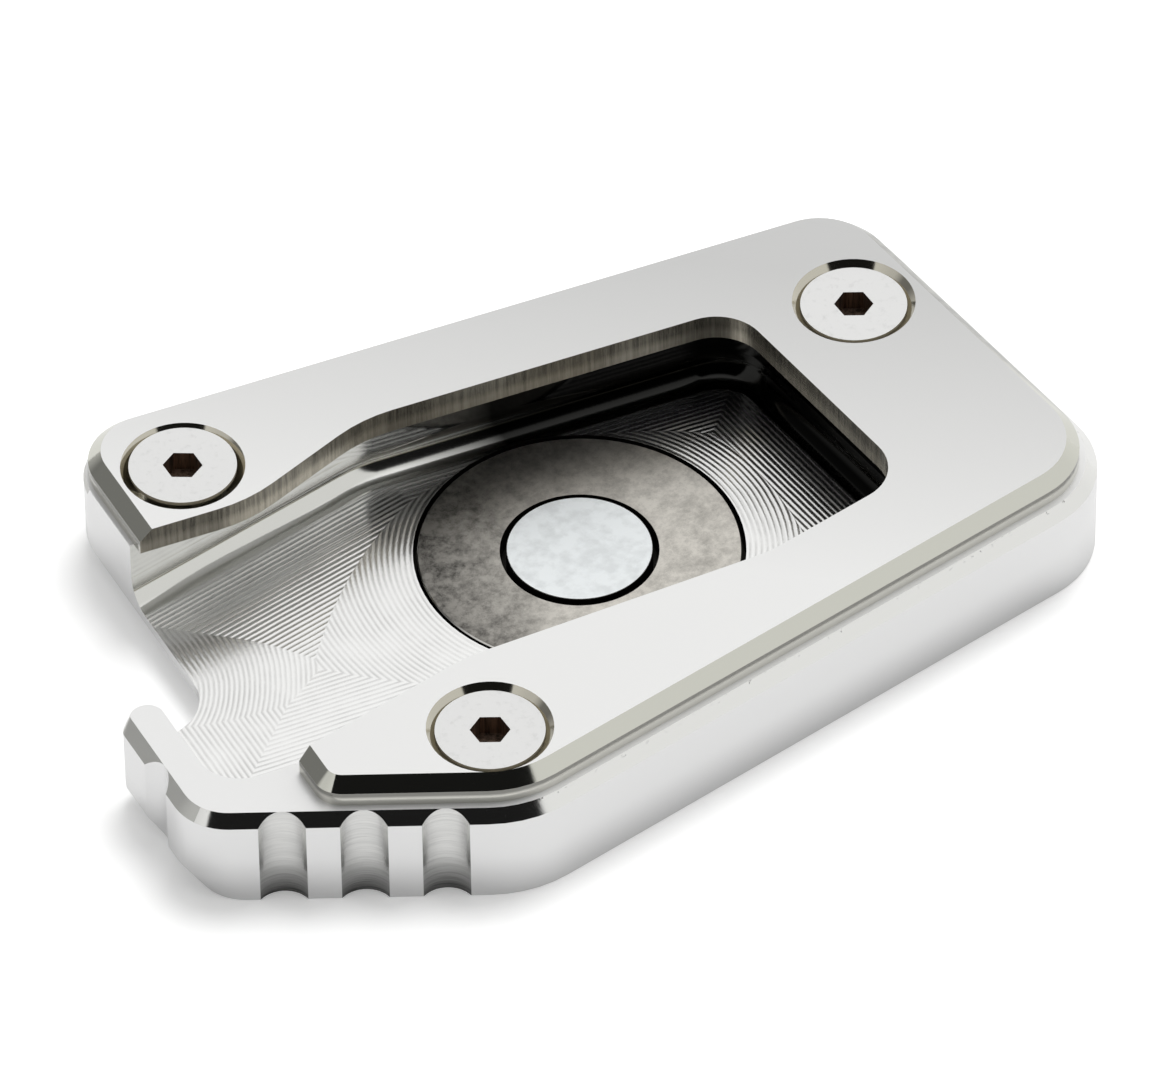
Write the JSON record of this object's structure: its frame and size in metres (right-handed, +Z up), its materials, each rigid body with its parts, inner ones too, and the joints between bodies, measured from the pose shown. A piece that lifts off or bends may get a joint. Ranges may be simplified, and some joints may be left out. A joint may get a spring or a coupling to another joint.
{
  "type": "side stand foot",
  "caption": "Machined sole block with an open pocket for a side stand's foot, and a U shaped clamp plate screwed on top.",
  "frame": {"origin": "middle of the outline's box, on the sole that stands on the ground", "axes": "+X along the straight near edge away from the finger, +Y towards the sloping back edge, +Z up through the clamp plate"},
  "size_m": [0.0912, 0.0606, 0.0121],
  "materials": {
    "machined_aluminium": "machined, bright",
    "plate_aluminium": "machined, bright, smooth on top",
    "screw_steel": "stainless, turned head",
    "ring_steel": "ground, warm grey",
    "magnet_plating": "zinc plated, mottled"
  },
  "bodies": {
    "root": {"base_plate": "machined_aluminium", "clamp_plate": "plate_aluminium", "screw_left": "screw_steel", "screw_right": "screw_steel", "screw_near": "screw_steel", "steel_ring": "ring_steel", "magnet": "magnet_plating"}
  },
  "joints": []
}
